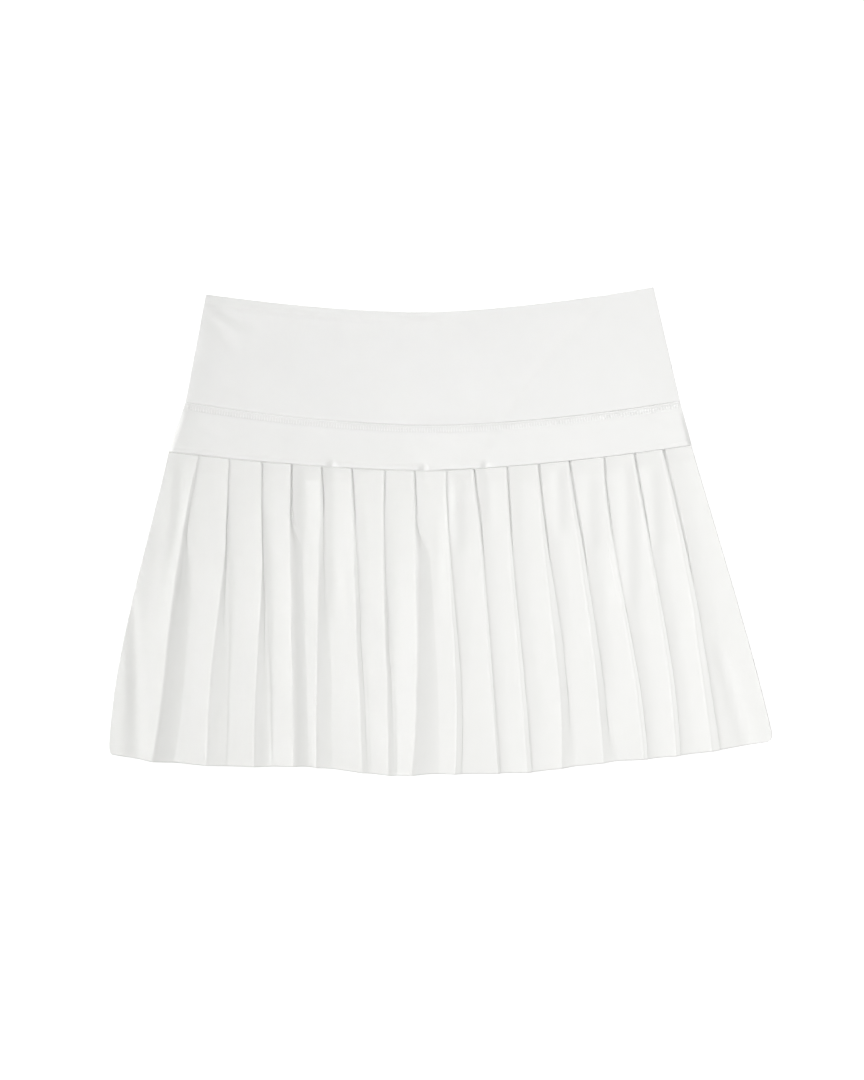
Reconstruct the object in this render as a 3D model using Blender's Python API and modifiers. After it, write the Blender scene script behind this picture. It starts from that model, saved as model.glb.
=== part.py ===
"""A pleated tennis skirt, laid flat on its back.

A doubled knit waistband, a narrow knit yoke below it and a knife-pleated skirt,
each with a front and a back that meet at the side seams.  X runs across the
skirt, +Y towards the waist and +Z up from the surface that the skirt lies on.
Sizes are in millimetres until the meshes are made.
"""

import math

import bpy
import numpy as np

MM = 0.001

# ------------------------------------------------------------ driving dimensions

BAND_WALL = 2.0         # knit of the waistband, doubled over, and of the yoke
PLEAT_WALL = 1.0        # one layer of the pleated cloth
SEAM_GAP = 0.3          # between two pieces, and between folded layers
SIDE_SLOPE = 5.0        # how far in from a side seam the front starts down to it
EDGE_ROUND = 0.6        # of the doubled waistband's edges

# The seam levels: how high each runs at its middle, how much higher it is at the
# sides, how late it climbs to that, half its width, its lean across the skirt, and
# where its middle lies, because the skirt does not lie quite straight.
LEVELS = {
    #          centre   rise  power  half    lean   middle
    "waist":  (173.9,  16.7,  1.65, 175.9,  0.0,   -3.1),
    "stitch": (84.7,   18.6,  1.7,  194.3,  -2.8,  -2.1),
    "yoke":   (49.2,   17.3,  1.6,  205.3,  -1.0,  -4.8),
    "hem":    (-188.7, 21.0,  2.2,  261.6,  2.0,   0.0),
}
SIDES = {-1: (-231.2, -250.6), 1: (222.1, 243.2)}    # of the pleats, at both thirds down

# One row for each knife pleat, from the left side to the right.  First, where its
# folded edge lies across the skirt, at the yoke, a third and two thirds of the way
# down, and at the hem.  Then how wide the cloth rolls over before that edge, at the
# last three of these places, how much higher than its edge the roll stands, and how
# far the pleat hangs short of the hem's level.
PLEATS = [
    ((-186.3, -202.4, -215.2, -226.0), (1.5, 2.2, 2.6), 2.2, 0.0),
    ((-162.4, -166.8, -168.5, -174.0), (1.8, 8.0, 11.0), 1.4, 1.6),
    ((-137.3, -136.2, -134.8, -134.2), (1.5, 3.0, 10.0), 1.2, 3.8),
    ((-114.0, -113.8, -113.6, -111.6), (1.5, 1.5, 6.0), 1.8, 5.4),
    ((-89.5, -88.6, -87.6, -86.5), (2.9, 6.4, 8.0), 1.6, 3.8),
    ((-66.9, -63.0, -60.5, -59.8), (2.5, 4.5, 4.1), 0.6, 0.9),
    ((-40.8, -41.8, -42.3, -42.0), (1.5, 1.5, 3.3), 1.4, -1.1),
    ((-17.6, -12.9, -9.0, -7.6), (3.7, 9.0, 12.0), 1.6, -0.2),
    ((7.4, 10.9, 15.8, 16.6), (1.5, 5.0, 5.2), 0.6, -0.3),
    ((29.3, 36.9, 42.2, 45.8), (1.5, 4.1, 4.8), 0.4, -0.8),
    ((55.0, 61.8, 68.0, 72.8), (2.5, 5.0, 7.2), 0.4, -1.6),
    ((80.2, 89.9, 99.0, 105.8), (2.5, 8.8, 9.6), 0.8, -0.4),
    ((104.2, 117.6, 128.6, 138.6), (2.9, 7.6, 10.3), 1.2, 2.0),
    ((131.2, 141.2, 153.3, 161.8), (1.5, 3.7, 4.1), 1.2, 1.0),
    ((155.2, 168.4, 181.6, 188.2), (1.5, 4.1, 3.3), 1.4, -0.8),
    ((178.4, 196.0, 209.2, 219.0), (2.9, 6.4, 8.8), 1.2, -1.6),
]
YOKE_TUCK = 6.2         # how deep a pleat is tucked under the last one at the yoke
HEM_TUCK = 3.0          # and at the hem, where the pleats have opened
LEAST_ROLL = 1.5        # the narrowest roll, as at the yoke
EARLY_LIFT = 1.15       # the rolls have their full height a little above the hem
CLIMB_START = 1.2       # a face starts to climb this far past the last folded edge
TUCK_ROOM = 1.5         # and has climbed this far before its own tuck
CREST_ROOM = 1.0        # or this far before its crest
LAST_CROWN = 1.2        # height of the plain panel beside the right side seam
BACK_CLIMB = 8.0        # a face of the back has reached the surface this far on
SCALLOP = 0.25          # how much further down each millimetre of height reaches
FOLD_STEPS = 3          # faces round each fold

LAYER = PLEAT_WALL + SEAM_GAP
FOLD_RADIUS = LAYER / 2
FRONT_REST = 3 * LAYER                      # the front lies on three folded layers
YOKE_TOP = FRONT_REST + 2 * LAYER + PLEAT_WALL

ACROSS_BAND = (0.0, 0.2, 0.4, 0.6, 0.8, 0.93, 0.965, 0.985, 1.0)
FRONT_STATIONS = (0.0, 0.12, 0.26, 0.4, 0.55, 0.7, 0.85, 1.0)
BACK_STATIONS = (0.0, 0.33, 0.67, 1.0)


# ----------------------------------------------------------------------- helpers

def between(a, b, t):
    return a + (b - a) * t


def ease(t):
    """Runs from 0 to 1 with a flat start and a flat end."""
    t = min(max(t, 0.0), 1.0)
    return t * t * (3 - 2 * t)


def along(places, v):
    """The smooth line through places at the yoke, at both thirds and at the hem."""
    yoke, upper, lower, hem = places
    inner = 9 * v * (1 - v) / 2 * (upper * (2 - 3 * v) - lower * (1 - 3 * v))
    return inner + (1 - 3 * v) * (2 - 3 * v) / 2 * (yoke * (1 - v) + hem * v)


def level_x(level, share):
    """Across the skirt at a seam level, from -1 at the left side to 1 at the right."""
    half, middle = LEVELS[level][3], LEVELS[level][5]
    return middle + share * half


def level_y(level, x):
    centre, rise, power, half, lean, middle = LEVELS[level]
    share = (x - middle) / half
    return centre + rise * abs(share) ** power + lean * share


def hem_y(x):
    """The hem's level, and how far the pleats there hang short of it."""
    edges = [row[0][-1] for row in PLEATS]
    short = [row[-1] for row in PLEATS]
    return level_y("hem", x) + float(np.interp(x, edges, short))


def material(name, colour, roughness):
    made = bpy.data.materials.new(name)
    made.use_nodes = True
    shader = made.node_tree.nodes["Principled BSDF"]
    shader.inputs["Base Color"].default_value = (*colour, 1.0)
    shader.inputs["Roughness"].default_value = roughness
    shader.inputs["Metallic"].default_value = 0.0
    return made


def cloth(name, rows, wall, made_of, collection):
    """A cloth wall on a grid of middle points, given in millimetres row by row."""
    across = len(rows[0])
    points = [tuple(value * MM for value in point) for row in rows for point in row]
    faces = [
        (r * across + c, (r + 1) * across + c, (r + 1) * across + c + 1, r * across + c + 1)
        for r in range(len(rows) - 1)
        for c in range(across - 1)
    ]
    mesh = bpy.data.meshes.new(name)
    mesh.from_pydata(points, [], faces)
    mesh.materials.append(made_of)
    mesh.shade_smooth()
    piece = bpy.data.objects.new(name, mesh)
    collection.objects.link(piece)
    thick = piece.modifiers.new("wall", "SOLIDIFY")
    thick.thickness = wall * MM
    thick.offset = 0.0
    thick.use_even_offset = True
    return piece


# ---------------------------------------------------------- waistband and yoke

def band(name, upper, lower, down, height, made_of, collection):
    """A plain band between two seam levels.

    down lists how far down the band each row lies, and height(t, inset) gives
    the middle of the cloth there, inset millimetres in from the side seam.
    """
    shares = [-u for u in reversed(ACROSS_BAND[1:])] + list(ACROSS_BAND)
    rows = []
    for t in down:
        half = between(LEVELS[upper][3], LEVELS[lower][3], t)
        row = []
        for u in shares:
            x_top, x_bottom = level_x(upper, u), level_x(lower, u)
            y_top = level_y(upper, x_top) - SEAM_GAP / 2
            y_bottom = level_y(lower, x_bottom) + SEAM_GAP / 2
            z = height(t, half * (1 - abs(u)))
            row.append((between(x_top, x_bottom, t), between(y_top, y_bottom, t), z))
        rows.append(row)
    return cloth(name, rows, BAND_WALL, made_of, collection)


def back_height(t, inset):
    return BAND_WALL / 2


def front_height(t, inset):
    return 1.5 * BAND_WALL + SEAM_GAP


def front_yoke_height(t, inset):
    """The front yoke climbs from the waistband to the top of the pleats."""
    low = front_height(t, inset)
    high = YOKE_TOP - BAND_WALL / 2
    return low + (high - low) * ease(t) * ease(inset / SIDE_SLOPE)


def round_edges(piece):
    """The waistband's knit is folded over, so its edges are soft."""
    soft = piece.modifiers.new("folded edge", "BEVEL")
    soft.width = EDGE_ROUND * MM
    soft.segments = 2
    soft.limit_method = "ANGLE"
    soft.angle_limit = math.radians(60)


# -------------------------------------------------------------- pleated panels

def fold(x, z, radius, start, end):
    """Middle points of cloth that turns about (x, z), between two angles in degrees."""
    turns = [between(start, end, i / FOLD_STEPS) for i in range(FOLD_STEPS + 1)]
    return [
        (x + radius * math.cos(math.radians(turn)), z + radius * math.sin(math.radians(turn)))
        for turn in turns
    ]


def front_section(v):
    """The front's middle points (x, z) from left to right, v of the way down.

    Each face climbs out from under the last pleat to its crest, rolls over,
    turns under at its folded edge, and runs back to the tuck where the next
    face begins.
    """
    left, right = side_x(-1, v), side_x(1, v)
    tuck = between(YOKE_TUCK, HEM_TUCK, v)
    edge_height = LAYER + 2 * FOLD_RADIUS
    side_seam = LAYER - FRONT_REST
    points = [(left, side_seam), (left + SIDE_SLOPE / 2, side_seam / 2)]
    start = left + SIDE_SLOPE
    for edges, rolls, lift, _ in PLEATS:
        edge = along(edges, v)
        roll = max(along((LEAST_ROLL, *rolls), v), LEAST_ROLL)
        crest = edge - FOLD_RADIUS - roll
        drop = lift * ease(v * EARLY_LIFT)
        crest_height = edge_height + drop
        climbed = min(crest - CREST_ROOM, edge - tuck - TUCK_ROOM)
        points += [
            (start, 0.0),
            (between(start, climbed, 0.5), crest_height / 2),
            (climbed, crest_height),
            (crest, crest_height),
            (crest + roll / 2, crest_height - drop / 4),
        ]
        lean = math.degrees(math.atan2(2 * drop, roll))
        points += fold(edge - FOLD_RADIUS, LAYER + FOLD_RADIUS, FOLD_RADIUS, 90 - lean, -90)
        points += fold(edge - tuck + FOLD_RADIUS, FOLD_RADIUS, FOLD_RADIUS, 90, 270)
        start = edge + CLIMB_START
    panel_end = right - SIDE_SLOPE
    points += [
        (start, 0.0),
        (between(start, panel_end, 0.5), LAST_CROWN),
        (panel_end, 0.0),
        (right - SIDE_SLOPE / 2, side_seam / 2),
        (right, side_seam),
    ]
    return points


def back_section(v):
    """The back's middle points: the same pleats, lying on their flat faces.

    The pleats run on round the body, so they fold the other way across X.
    """
    tuck = between(YOKE_TUCK, HEM_TUCK, v)
    points = [(-side_x(1, v), 0.0)]
    for edges, *_ in PLEATS:
        edge = along(edges, v)
        turned = fold(edge - FOLD_RADIUS, -FOLD_RADIUS, FOLD_RADIUS, 90, -90)
        turned += fold(edge - tuck + FOLD_RADIUS, -3 * FOLD_RADIUS, FOLD_RADIUS, 90, 270)
        points += [(x, -z) for x, z in turned]
        points += [(edge + CLIMB_START / 2, 2 * LAYER), (edge + BACK_CLIMB, 0.0)]
    points.append((-side_x(-1, v), 0.0))
    return [(-x, z) for x, z in reversed(points)]


def side_x(side, v):
    """Where the pleats' left (-1) or right (1) side seam lies, v of the way down."""
    return along((level_x("yoke", side), *SIDES[side], level_x("hem", side)), v)


def pleated(name, section, stations, rest, made_of, collection):
    """A pleated panel lofted through its sections, its lowest cloth rest above the surface."""
    at_yoke, at_hem = section(0.0), section(1.0)
    rows = []
    for v in stations:
        row = []
        for (x, z), (x_yoke, _), (x_hem, z_hem) in zip(section(v), at_yoke, at_hem):
            y_yoke = level_y("yoke", x_yoke) - SEAM_GAP / 2
            y_hem = hem_y(x_hem) - SCALLOP * z_hem
            row.append((x, between(y_yoke, y_hem, v), rest + PLEAT_WALL / 2 + z))
        rows.append(row)
    return cloth(name, rows, PLEAT_WALL, made_of, collection)


# ------------------------------------------------------------------- the skirt

def build():
    for thing in list(bpy.data.objects):
        bpy.data.objects.remove(thing)
    skirt = bpy.data.collections.new("tennis_skirt")
    bpy.context.scene.collection.children.link(skirt)
    band_knit = material("band_knit", (0.86, 0.86, 0.86), 0.62)
    yoke_knit = material("yoke_knit", (0.87, 0.87, 0.87), 0.62)
    pleat_cloth = material("pleated_cloth", (0.88, 0.88, 0.86), 0.7)

    halves = (0.0, 0.5, 1.0)
    quarters = (0.0, 0.25, 0.5, 0.75, 1.0)
    round_edges(band("waistband_back", "waist", "stitch", halves, back_height, band_knit, skirt))
    round_edges(band("waistband_front", "waist", "stitch", halves, front_height, band_knit, skirt))
    band("yoke_back", "stitch", "yoke", halves, back_height, yoke_knit, skirt)
    band("yoke_front", "stitch", "yoke", quarters, front_yoke_height, yoke_knit, skirt)
    pleated("pleats_back", back_section, BACK_STATIONS, 0.0, pleat_cloth, skirt)
    pleated("pleats_front", front_section, FRONT_STATIONS, FRONT_REST, pleat_cloth, skirt)


build()
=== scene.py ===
# %% [markdown]
# # A pleated tennis skirt, laid flat
#
# The skirt lies on its back on a white table.  It has a doubled knit waistband, a
# narrow knit yoke below that, and a skirt of sixteen knife pleats, each with a front
# and a back that meet at the side seams.  X runs across the skirt, +Y points to the
# waist and +Z up.  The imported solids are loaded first: they give the places and the
# sizes, and every cloth made here lies on the form of one of them.

# %% Load the solids and measure them
import math
from collections import namedtuple

import bpy
import numpy as np
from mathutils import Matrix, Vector, noise


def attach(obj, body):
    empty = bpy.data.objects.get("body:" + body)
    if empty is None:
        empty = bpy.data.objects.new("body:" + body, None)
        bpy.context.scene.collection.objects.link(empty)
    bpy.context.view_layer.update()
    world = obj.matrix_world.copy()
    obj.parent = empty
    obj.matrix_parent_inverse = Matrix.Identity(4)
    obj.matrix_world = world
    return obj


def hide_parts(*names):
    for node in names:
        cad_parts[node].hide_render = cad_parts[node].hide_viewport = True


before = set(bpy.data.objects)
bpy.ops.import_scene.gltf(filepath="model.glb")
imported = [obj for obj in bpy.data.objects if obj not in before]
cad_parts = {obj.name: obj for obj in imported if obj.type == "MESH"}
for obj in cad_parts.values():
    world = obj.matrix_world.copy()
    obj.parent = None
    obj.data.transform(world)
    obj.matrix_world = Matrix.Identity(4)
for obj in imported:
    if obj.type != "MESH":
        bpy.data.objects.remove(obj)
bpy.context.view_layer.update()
scene = bpy.context.scene
MM = 0.001
TURN = 2 * math.pi
print("solids:", sorted(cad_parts))


# %% [markdown]
# ## The camera
#
# A flat garment is looked at from straight above.  The camera hangs 2.2 m over the
# table, and is turned by one degree, so that the skirt doesn't lie quite square to
# it.  The sensor's height and the lens set the field of view: the height of one
# picture covers 848 mm of the skirt's top.

# %% Hang the camera
CAMERA_PLACE = (-4.5 * MM, -5.4 * MM, 2.2)
CAMERA_ROLL = -0.95          # degrees
SKIRT_TOP = 0.006            # the height that the field of view is measured at
FIELD = 0.848                # metres of the skirt in the height of the picture

lens = bpy.data.cameras.new("overhead")
lens.sensor_fit = "VERTICAL"
lens.sensor_height = 36.0
lens.lens = lens.sensor_height * (CAMERA_PLACE[2] - SKIRT_TOP) / FIELD
lens.clip_start, lens.clip_end = 0.05, 20.0
camera = bpy.data.objects.new("overhead", lens)
camera.location = CAMERA_PLACE
camera.rotation_euler = (0.0, 0.0, math.radians(CAMERA_ROLL))
scene.collection.objects.link(camera)
scene.camera = camera
print(f"camera {CAMERA_PLACE[2]} m up, lens {lens.lens:.1f} mm")


# %% [markdown]
# ## Sums with sockets
#
# A material, and a Geometry Nodes tree too, is a net of nodes, and long nets are
# hard to read as code.  This class wraps one output socket.  Adding, subtracting or
# multiplying two of them adds the Math node that does it, so a pattern can be
# written as a formula.  Every other kind of node comes from `node`, which sets the
# node's own settings first and then its sockets.

# %% One socket, as a value that can be used in sums
class Flow:
    """What comes out of a socket of a node tree."""

    def __init__(self, tree, socket=None):
        self.tree, self.socket = tree, socket

    def node(self, kind, settings=None, sockets=None, output=0):
        made = self.tree.nodes.new(kind)
        for name, value in (settings or {}).items():
            setattr(made, name, value)
        for name, value in (sockets or {}).items():
            if isinstance(value, Flow):
                self.tree.links.new(value.socket, made.inputs[name])
            else:
                made.inputs[name].default_value = value
        return Flow(self.tree, made.outputs[output])

    def also(self, output):
        """Another output of the node that this one came from."""
        return Flow(self.tree, self.socket.node.outputs[output])

    def maths(self, operation, a, b=0.0):
        return self.node("ShaderNodeMath", {"operation": operation}, {0: a, 1: b})

    def __add__(self, other):
        return self.maths("ADD", self, other)

    def __sub__(self, other):
        return self.maths("SUBTRACT", self, other)

    def __rsub__(self, other):
        return self.maths("SUBTRACT", other, self)

    def __mul__(self, other):
        return self.maths("MULTIPLY", self, other)

    def __truediv__(self, other):
        return self.maths("DIVIDE", self, other)

    def __pow__(self, other):
        return self.maths("POWER", self, other)

    __radd__, __rmul__ = __add__, __mul__

    def wave(self):
        """A sine that runs through one turn for each 1 that this value grows."""
        return self.maths("SINE", self * TURN)

    def size(self):
        return self.maths("ABSOLUTE", self)


# %% [markdown]
# ## The cloths
#
# Three things make a white cloth look like cloth: the colour is never quite even,
# the surface has its knit or weave, and fine fibres stand up and catch the light
# that grazes it.  The colour varies with soft noise, the knit and the weave
# are bumps in the cloth's own coordinates, so they turn with each fold, and the
# fibres are the shader's sheen.  The coordinates are stored on each piece as a UV
# map named `cloth`, in metres of cloth: along the courses, and down the wales.

# %% Start a cloth material
def cloth_material(name, roughness, sheen):
    """A new material: its root for more nodes, its shader, and the cloth's places."""
    made = bpy.data.materials.new(name)
    made.use_nodes = True
    tree = made.node_tree
    shader = tree.nodes["Principled BSDF"]
    shader.inputs["Roughness"].default_value = roughness
    shader.inputs["Sheen Weight"].default_value = sheen
    shader.inputs["Sheen Roughness"].default_value = 0.5
    shader.inputs["Specular IOR Level"].default_value = 0.25
    place = Flow(tree).node("ShaderNodeUVMap", {"uv_map": "cloth"})
    parted = place.node("ShaderNodeSeparateXYZ", sockets={0: place})
    return made, shader, place, parted, parted.also(1)


def soft_noise(place, size, detail=2.0):
    """Noise between 0 and 1 whose blots are about size metres wide."""
    return place.node(
        "ShaderNodeTexNoise", {"noise_dimensions": "3D"},
        {"Vector": place, "Scale": 1 / size, "Detail": detail, "Roughness": 0.5},
    )


def finish(shader, colour, relief, depth):
    """Gives the shader its colour, and a bump from a relief that is depth metres deep."""
    tree = shader.id_data
    tree.links.new(colour.socket, shader.inputs["Base Color"])
    bump = relief.node("ShaderNodeBump", None, {"Height": relief, "Distance": depth, "Strength": 1.0})
    tree.links.new(bump.socket, shader.inputs["Normal"])


def tinted(amount, pale, deep):
    """The colour between two others, by an amount between 0 and 1."""
    return amount.node(
        "ShaderNodeMix", {"data_type": "RGBA"},
        {0: amount, 6: (*pale, 1.0), 7: (*deep, 1.0)}, output=2,
    )


# %% [markdown]
# ### The knit of the waistband and yoke
#
# A close jersey shows wales: columns of small V-shaped loops.  The loops are a wave
# down the cloth, whose phase is pushed up at the middle of each wale, times a hump
# across the wale.  The real loops are about 0.6 mm wide, too many to model.

# %% Knit and thread
WALE, COURSE = 0.62 * MM, 0.48 * MM


def knit(name, pale, deep):
    made, shader, place, across, down = cloth_material(name, roughness=0.72, sheen=0.12)
    wale = across / WALE
    hump = wale.wave().size()
    loop = (down / COURSE + hump * 0.5).wave()
    blots = soft_noise(place, 18 * MM)
    finish(shader, tinted(blots, pale, deep), hump * 0.6 + loop * 0.25, 0.05 * MM)
    return made


band_knit = knit("band_knit_finish", (0.849, 0.849, 0.849), (0.829, 0.829, 0.826))
yoke_knit = knit("yoke_knit_finish", (0.849, 0.849, 0.847), (0.829, 0.829, 0.824))

thread = bpy.data.materials.new("thread_finish")
thread.use_nodes = True
thread_shader = thread.node_tree.nodes["Principled BSDF"]
thread_shader.inputs["Roughness"].default_value = 0.5
thread_place = Flow(thread.node_tree).node("ShaderNodeTexCoord", output="Object")
thread_plies = soft_noise(thread_place, 0.5 * MM)
finish(thread_shader, tinted(thread_plies, (0.94, 0.94, 0.94), (0.88, 0.88, 0.88)), thread_plies, 0.05 * MM)
print("knit:", band_knit.name, yoke_knit.name, "thread:", thread.name)


# %% [markdown]
# ### The cloth of the pleats
#
# The pleats are a light, tight plain weave, a little creamier than the knit.  A
# plain weave is a chequer of threads that pass over and under: one wave across
# times one wave down.  Faint slubs run along the threads, so their noise is
# stretched in the cloth's own direction.

# %% Pleated cloth
THREAD_PITCH = 0.42 * MM

pleat_cloth, pleat_shader, pleat_place, pleat_across, pleat_down = cloth_material(
    "pleated_cloth_finish", roughness=0.78, sheen=0.1
)
weave = (pleat_across / THREAD_PITCH).wave() * (pleat_down / THREAD_PITCH).wave()
stretched = pleat_place.node(
    "ShaderNodeMapping", None, {"Vector": pleat_place, "Scale": (1.0, 0.12, 1.0)}
)
slubs = soft_noise(stretched, 1.6 * MM, detail=3.0)
blots = soft_noise(pleat_place, 14 * MM)
finish(
    pleat_shader,
    tinted(blots * 0.6 + slubs * 0.4, (0.829, 0.829, 0.824), (0.8, 0.8, 0.79)),
    weave * 0.5 + slubs * 0.5, 0.04 * MM,
)
print("pleats:", pleat_cloth.name)


# %% [markdown]
# ## The seam levels
#
# Laid flat, the waist edge dips at the middle and climbs to the side seams, and so
# does each seam below it.  Four rows of numbers say how: the height at the centre,
# how far the ends climb, how late they do, half the width, a small lean, and where
# the middle lies.  They are the solids' own numbers, in millimetres.

# %% Where the seams run
BAND_WALL = 2.0                    # the solids' walls: of the waistband and the yoke,
PLEAT_WALL = 1.0                   # and of the pleats
SEAM_GAP = 0.3                     # between two pieces, and between folded layers
SIDE_SLOPE = 3.0                   # how far in from a side seam a band has all its height
LAYER = PLEAT_WALL + SEAM_GAP
FRONT_REST = 3 * LAYER             # the front pleats lie on three folded layers
YOKE_TOP = FRONT_REST + 2 * LAYER + PLEAT_WALL

LEVELS = {
    #          centre   rise  power  half    lean   middle
    "waist":  (173.9,  16.7,  1.65, 175.9,  0.0,   -3.1),
    "stitch": (84.7,   18.6,  1.7,  194.3,  -2.8,  -2.1),
    "yoke":   (49.2,   17.3,  1.6,  205.3,  -1.0,  -4.8),
    "hem":    (-188.7, 21.0,  2.2,  261.6,  2.0,   0.0),
}
SIDES = {-1: (-231.2, -250.6), 1: (222.1, 243.2)}   # a third and two thirds down the pleats


def level_x(level, share):
    """Across the skirt at a seam level, from -1 at the left side to 1 at the right."""
    half, middle = LEVELS[level][3], LEVELS[level][5]
    return middle + share * half


def level_y(level, x):
    centre, rise, power, half, lean, middle = LEVELS[level]
    share = (x - middle) / half
    return centre + rise * np.abs(share) ** power + lean * share


def between(a, b, t):
    return a + (b - a) * t


def ease(t):
    """Runs from 0 to 1 with a flat start and a flat end."""
    t = np.clip(t, 0.0, 1.0)
    return t * t * (3 - 2 * t)


for level in LEVELS:
    left, right = (level_x(level, share) for share in (-1, 1))
    print(f"{level}: from x {left:.0f} to {right:.0f} mm, {level_y(level, 0.0):.0f} mm up at the centre")


# %% [markdown]
# ## Bands between two seams
#
# The waistband and the yoke, front and back, are all the same thing: a band of knit
# whose two edges follow two of those levels.  A shape that follows a rule suits
# Geometry Nodes, so one tree bends a flat grid into any of the four, and its inputs
# are the numbers of the two levels and the height of the cloth at each.  The grid
# keeps its cloth coordinates, so the knit follows the band.

# %% A tree's inputs and output
def new_tree(name, inputs):
    """An empty Geometry Nodes tree with named inputs: a Flow for each, by name."""
    tree = bpy.data.node_groups.new(name, "GeometryNodeTree")
    tree.interface.new_socket("Geometry", in_out="INPUT", socket_type="NodeSocketGeometry")
    tree.interface.new_socket("Geometry", in_out="OUTPUT", socket_type="NodeSocketGeometry")
    for title, kind in inputs.items():
        tree.interface.new_socket(title, in_out="INPUT", socket_type=kind)
    start = tree.nodes.new("NodeGroupInput")
    return tree, {title: Flow(tree, start.outputs[title]) for title in ["Geometry", *inputs]}


def end_tree(geometry, finish_with):
    """Turns what the tree made into real faces, and gives them their material."""
    real = geometry.node("GeometryNodeRealizeInstances", None, {0: geometry})
    real = real.node("GeometryNodeSetMaterial", None, {0: real, 2: finish_with})
    end = real.tree.nodes.new("NodeGroupOutput")
    real.tree.links.new(real.socket, end.inputs[0])


def run_tree(tree, name, start, values):
    """The mesh that a tree makes from the start mesh, as a plain object at the origin."""
    maker = bpy.data.objects.new(name + "_maker", start)
    scene.collection.objects.link(maker)
    step = maker.modifiers.new("tree", "NODES")
    step.node_group = tree
    for item in tree.interface.items_tree:
        if item.in_out == "INPUT" and item.name in values:
            step[item.identifier] = values[item.name]
    bpy.context.view_layer.update()
    seen = maker.evaluated_get(bpy.context.evaluated_depsgraph_get())
    mesh = bpy.data.meshes.new_from_object(seen)
    mesh.name = name
    bpy.data.objects.remove(maker)
    made = bpy.data.objects.new(name, mesh)
    scene.collection.objects.link(made)
    return made


# %% The tree that bends a grid into a band
BAND_INPUTS = {"Columns": "NodeSocketInt", "Rows": "NodeSocketInt", "Cloth": "NodeSocketMaterial"}
for edge in ("Upper", "Lower"):
    for word in ("Centre", "Rise", "Power", "Half", "Lean", "Middle", "Height"):
        BAND_INPUTS[f"{edge} {word}"] = "NodeSocketFloat"
BAND_INPUTS["Side Slope"] = "NodeSocketFloat"

band_tree, given = new_tree("band between two seams", BAND_INPUTS)
root = Flow(band_tree)
grid = root.node(
    "GeometryNodeMeshGrid", None,
    {"Size X": 2.0, "Size Y": 1.0, "Vertices X": given["Columns"], "Vertices Y": given["Rows"]},
)
spot = root.node("GeometryNodeInputPosition")
share = spot.node("ShaderNodeSeparateXYZ", None, {0: spot})         # -1 to 1, across the band
down = 0.5 - share.also(1)                                          # 0 at the upper edge, 1 at the lower


def edge_y(edge):
    """How far up the skirt an edge of the band runs, at this share of its width."""
    return (
        given[f"{edge} Centre"]
        + given[f"{edge} Rise"] * share.size() ** given[f"{edge} Power"]
        + given[f"{edge} Lean"] * share
    )


def smooth(amount):
    return amount.node("ShaderNodeMapRange", {"interpolation_type": "SMOOTHSTEP"}, {"Value": amount})


half = given["Upper Half"] + (given["Lower Half"] - given["Upper Half"]) * down
middle = given["Upper Middle"] + (given["Lower Middle"] - given["Upper Middle"]) * down
climb = smooth(down) * smooth(half * (1 - share.size()) / given["Side Slope"])
placed = root.node("ShaderNodeCombineXYZ", None, {
    "X": (middle + half * share) * MM,
    "Y": (edge_y("Upper") + (edge_y("Lower") - edge_y("Upper")) * down) * MM,
    "Z": (given["Upper Height"] + (given["Lower Height"] - given["Upper Height"]) * climb) * MM,
})
bent = grid.node("GeometryNodeSetPosition", None, {"Geometry": grid, "Position": placed})
mapped = bent.node(
    "GeometryNodeStoreNamedAttribute", {"data_type": "FLOAT2", "domain": "CORNER"},
    {"Geometry": bent, "Name": "cloth", "Value": spot},
)
end_tree(mapped, given["Cloth"])
print("band tree:", len(band_tree.nodes), "nodes")


# %% [markdown]
# ## Creases placed one by one
#
# Cloth that has been worn and folded keeps soft troughs and ridges, each in its own
# place.  A simulation would put them anywhere, so they are written down: where each
# one starts and ends, how wide it is, and how high (a ridge) or deep (a trough).
# Its section is a bell curve, and it fades out at both ends.

# %% Raise and sink cloth along creases
def bell(distance, width):
    """A smooth bump: 1 where the distance is 0, and almost nothing two widths away."""
    return np.exp(-((distance / width) ** 2))


def crease_relief(x, y, creases):
    """How far the creases raise the cloth at places x, y, all in millimetres."""
    raised = np.zeros_like(x)
    for x1, y1, x2, y2, width, height in creases:
        along = np.array([x2 - x1, y2 - y1])
        length = np.hypot(*along)
        along = along / length
        s = (x - x1) * along[0] + (y - y1) * along[1]
        aside = (x - x1) * -along[1] + (y - y1) * along[0]
        fade = ease(s / (0.35 * length) + 0.5) * ease((length - s) / (0.35 * length) + 0.5)
        raised += height * bell(aside, width) * fade
    return raised


def waves(x, y, size, height, seed):
    """Gentle unevenness: smooth noise with waves about size wide."""
    return height * np.array([
        noise.noise(Vector((a / size, b / size, seed))) for a, b in zip(x, y)
    ])


def mesh_points(mesh):
    points = np.empty(len(mesh.vertices) * 3)
    mesh.vertices.foreach_get("co", points)
    return points.reshape(-1, 3)


def place_points(mesh, points):
    mesh.vertices.foreach_set("co", points.astype(np.float32).ravel())
    mesh.update()


# %% [markdown]
# ## From a surface to a wall of cloth
#
# Each piece starts as an open surface.  Solidify gives it the thickness of its
# cloth, and a small bevel rounds the edges of the thick knit, whose edges are
# folded.  The result is kept as a plain mesh at the origin.

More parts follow.
